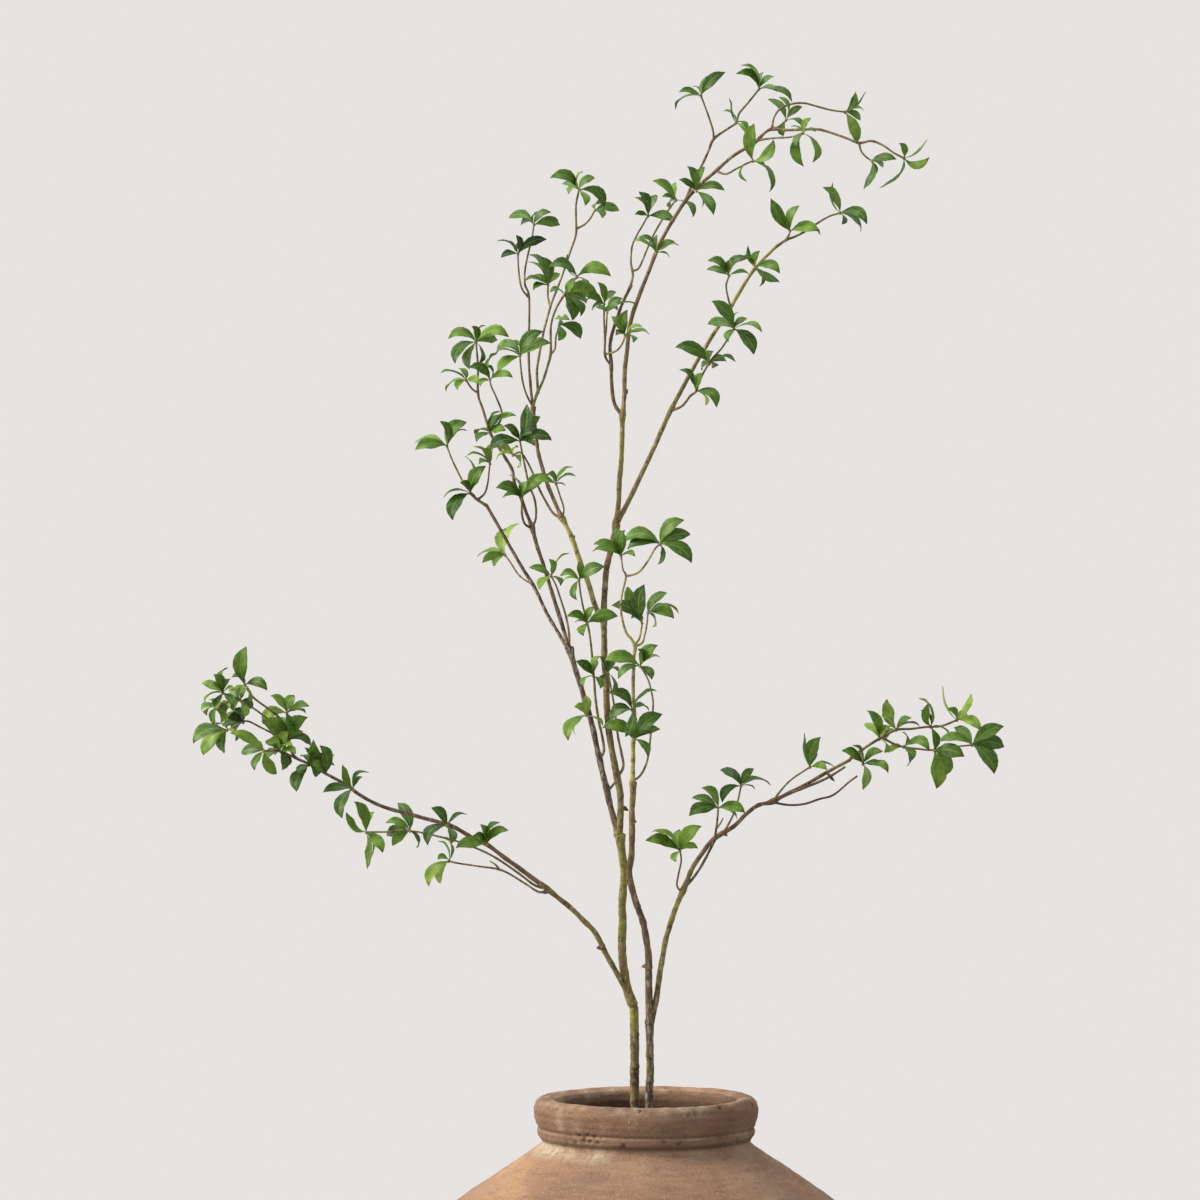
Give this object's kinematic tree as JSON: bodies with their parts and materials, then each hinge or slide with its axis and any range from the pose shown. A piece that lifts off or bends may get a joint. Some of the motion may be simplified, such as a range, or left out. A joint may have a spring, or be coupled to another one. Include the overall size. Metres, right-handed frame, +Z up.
{
  "type": "potted enkianthus",
  "caption": "Tall leafy enkianthus branches with whorls of small leaves, standing in a round-shouldered terracotta jar filled with soil.",
  "frame": {"origin": "middle of the jar's flat base, on the jar's axis", "axes": "+Z up along the jar's axis, the pictured front towards -Y, +X to the right of the front"},
  "size_m": [0.8106, 0.5024, 1.4717],
  "materials": {
    "terracotta": "rough, weathered, with pale lime bloom",
    "earth": "loose dark potting soil",
    "bark": "matt brown bark with olive patches",
    "leaves": "thin green leaves with a low sheen"
  },
  "bodies": {
    "root": {"jar": "terracotta", "left_plant": "bark", "right_plant": "bark", "soil": "earth", "spray_far_left": "leaves", "spray_inner_left": "leaves", "spray_inner_left_low": "leaves", "spray_inner_olive": "leaves", "spray_left_back": "leaves", "spray_left_cluster": "leaves", "spray_left_dark": "leaves", "spray_left_front": "leaves", "spray_left_olive": "leaves", "spray_left_outer": "leaves", "spray_left_right_twig": "leaves", "spray_left_thin": "leaves", "spray_low_left_fork": "leaves", "spray_low_left_middle": "leaves", "spray_low_left_node": "leaves", "spray_low_left_strand": "leaves", "spray_low_left_twig": "leaves", "spray_low_right_far": "leaves", "spray_low_right_fork": "leaves", "spray_low_right_middle": "leaves", "spray_low_right_near": "leaves", "spray_low_right_up": "leaves", "spray_right_crown": "leaves", "spray_right_limb_low": "leaves", "spray_right_limb_tip": "leaves", "spray_right_limb_twig": "leaves", "spray_right_limb_whorl": "leaves", "spray_right_stem_high": "leaves", "spray_right_stem_low": "leaves", "spray_right_twig": "leaves", "spray_short_limb": "leaves", "spray_top_left": "leaves", "spray_top_limb": "leaves", "spray_top_limb_low": "leaves", "spray_top_low": "leaves", "spray_top_middle": "leaves", "spray_top_right": "leaves", "spray_upper_centre": "leaves", "spray_upper_left": "leaves", "spray_upper_left_straight": "leaves", "spray_upper_left_thin": "leaves"}
  },
  "joints": []
}
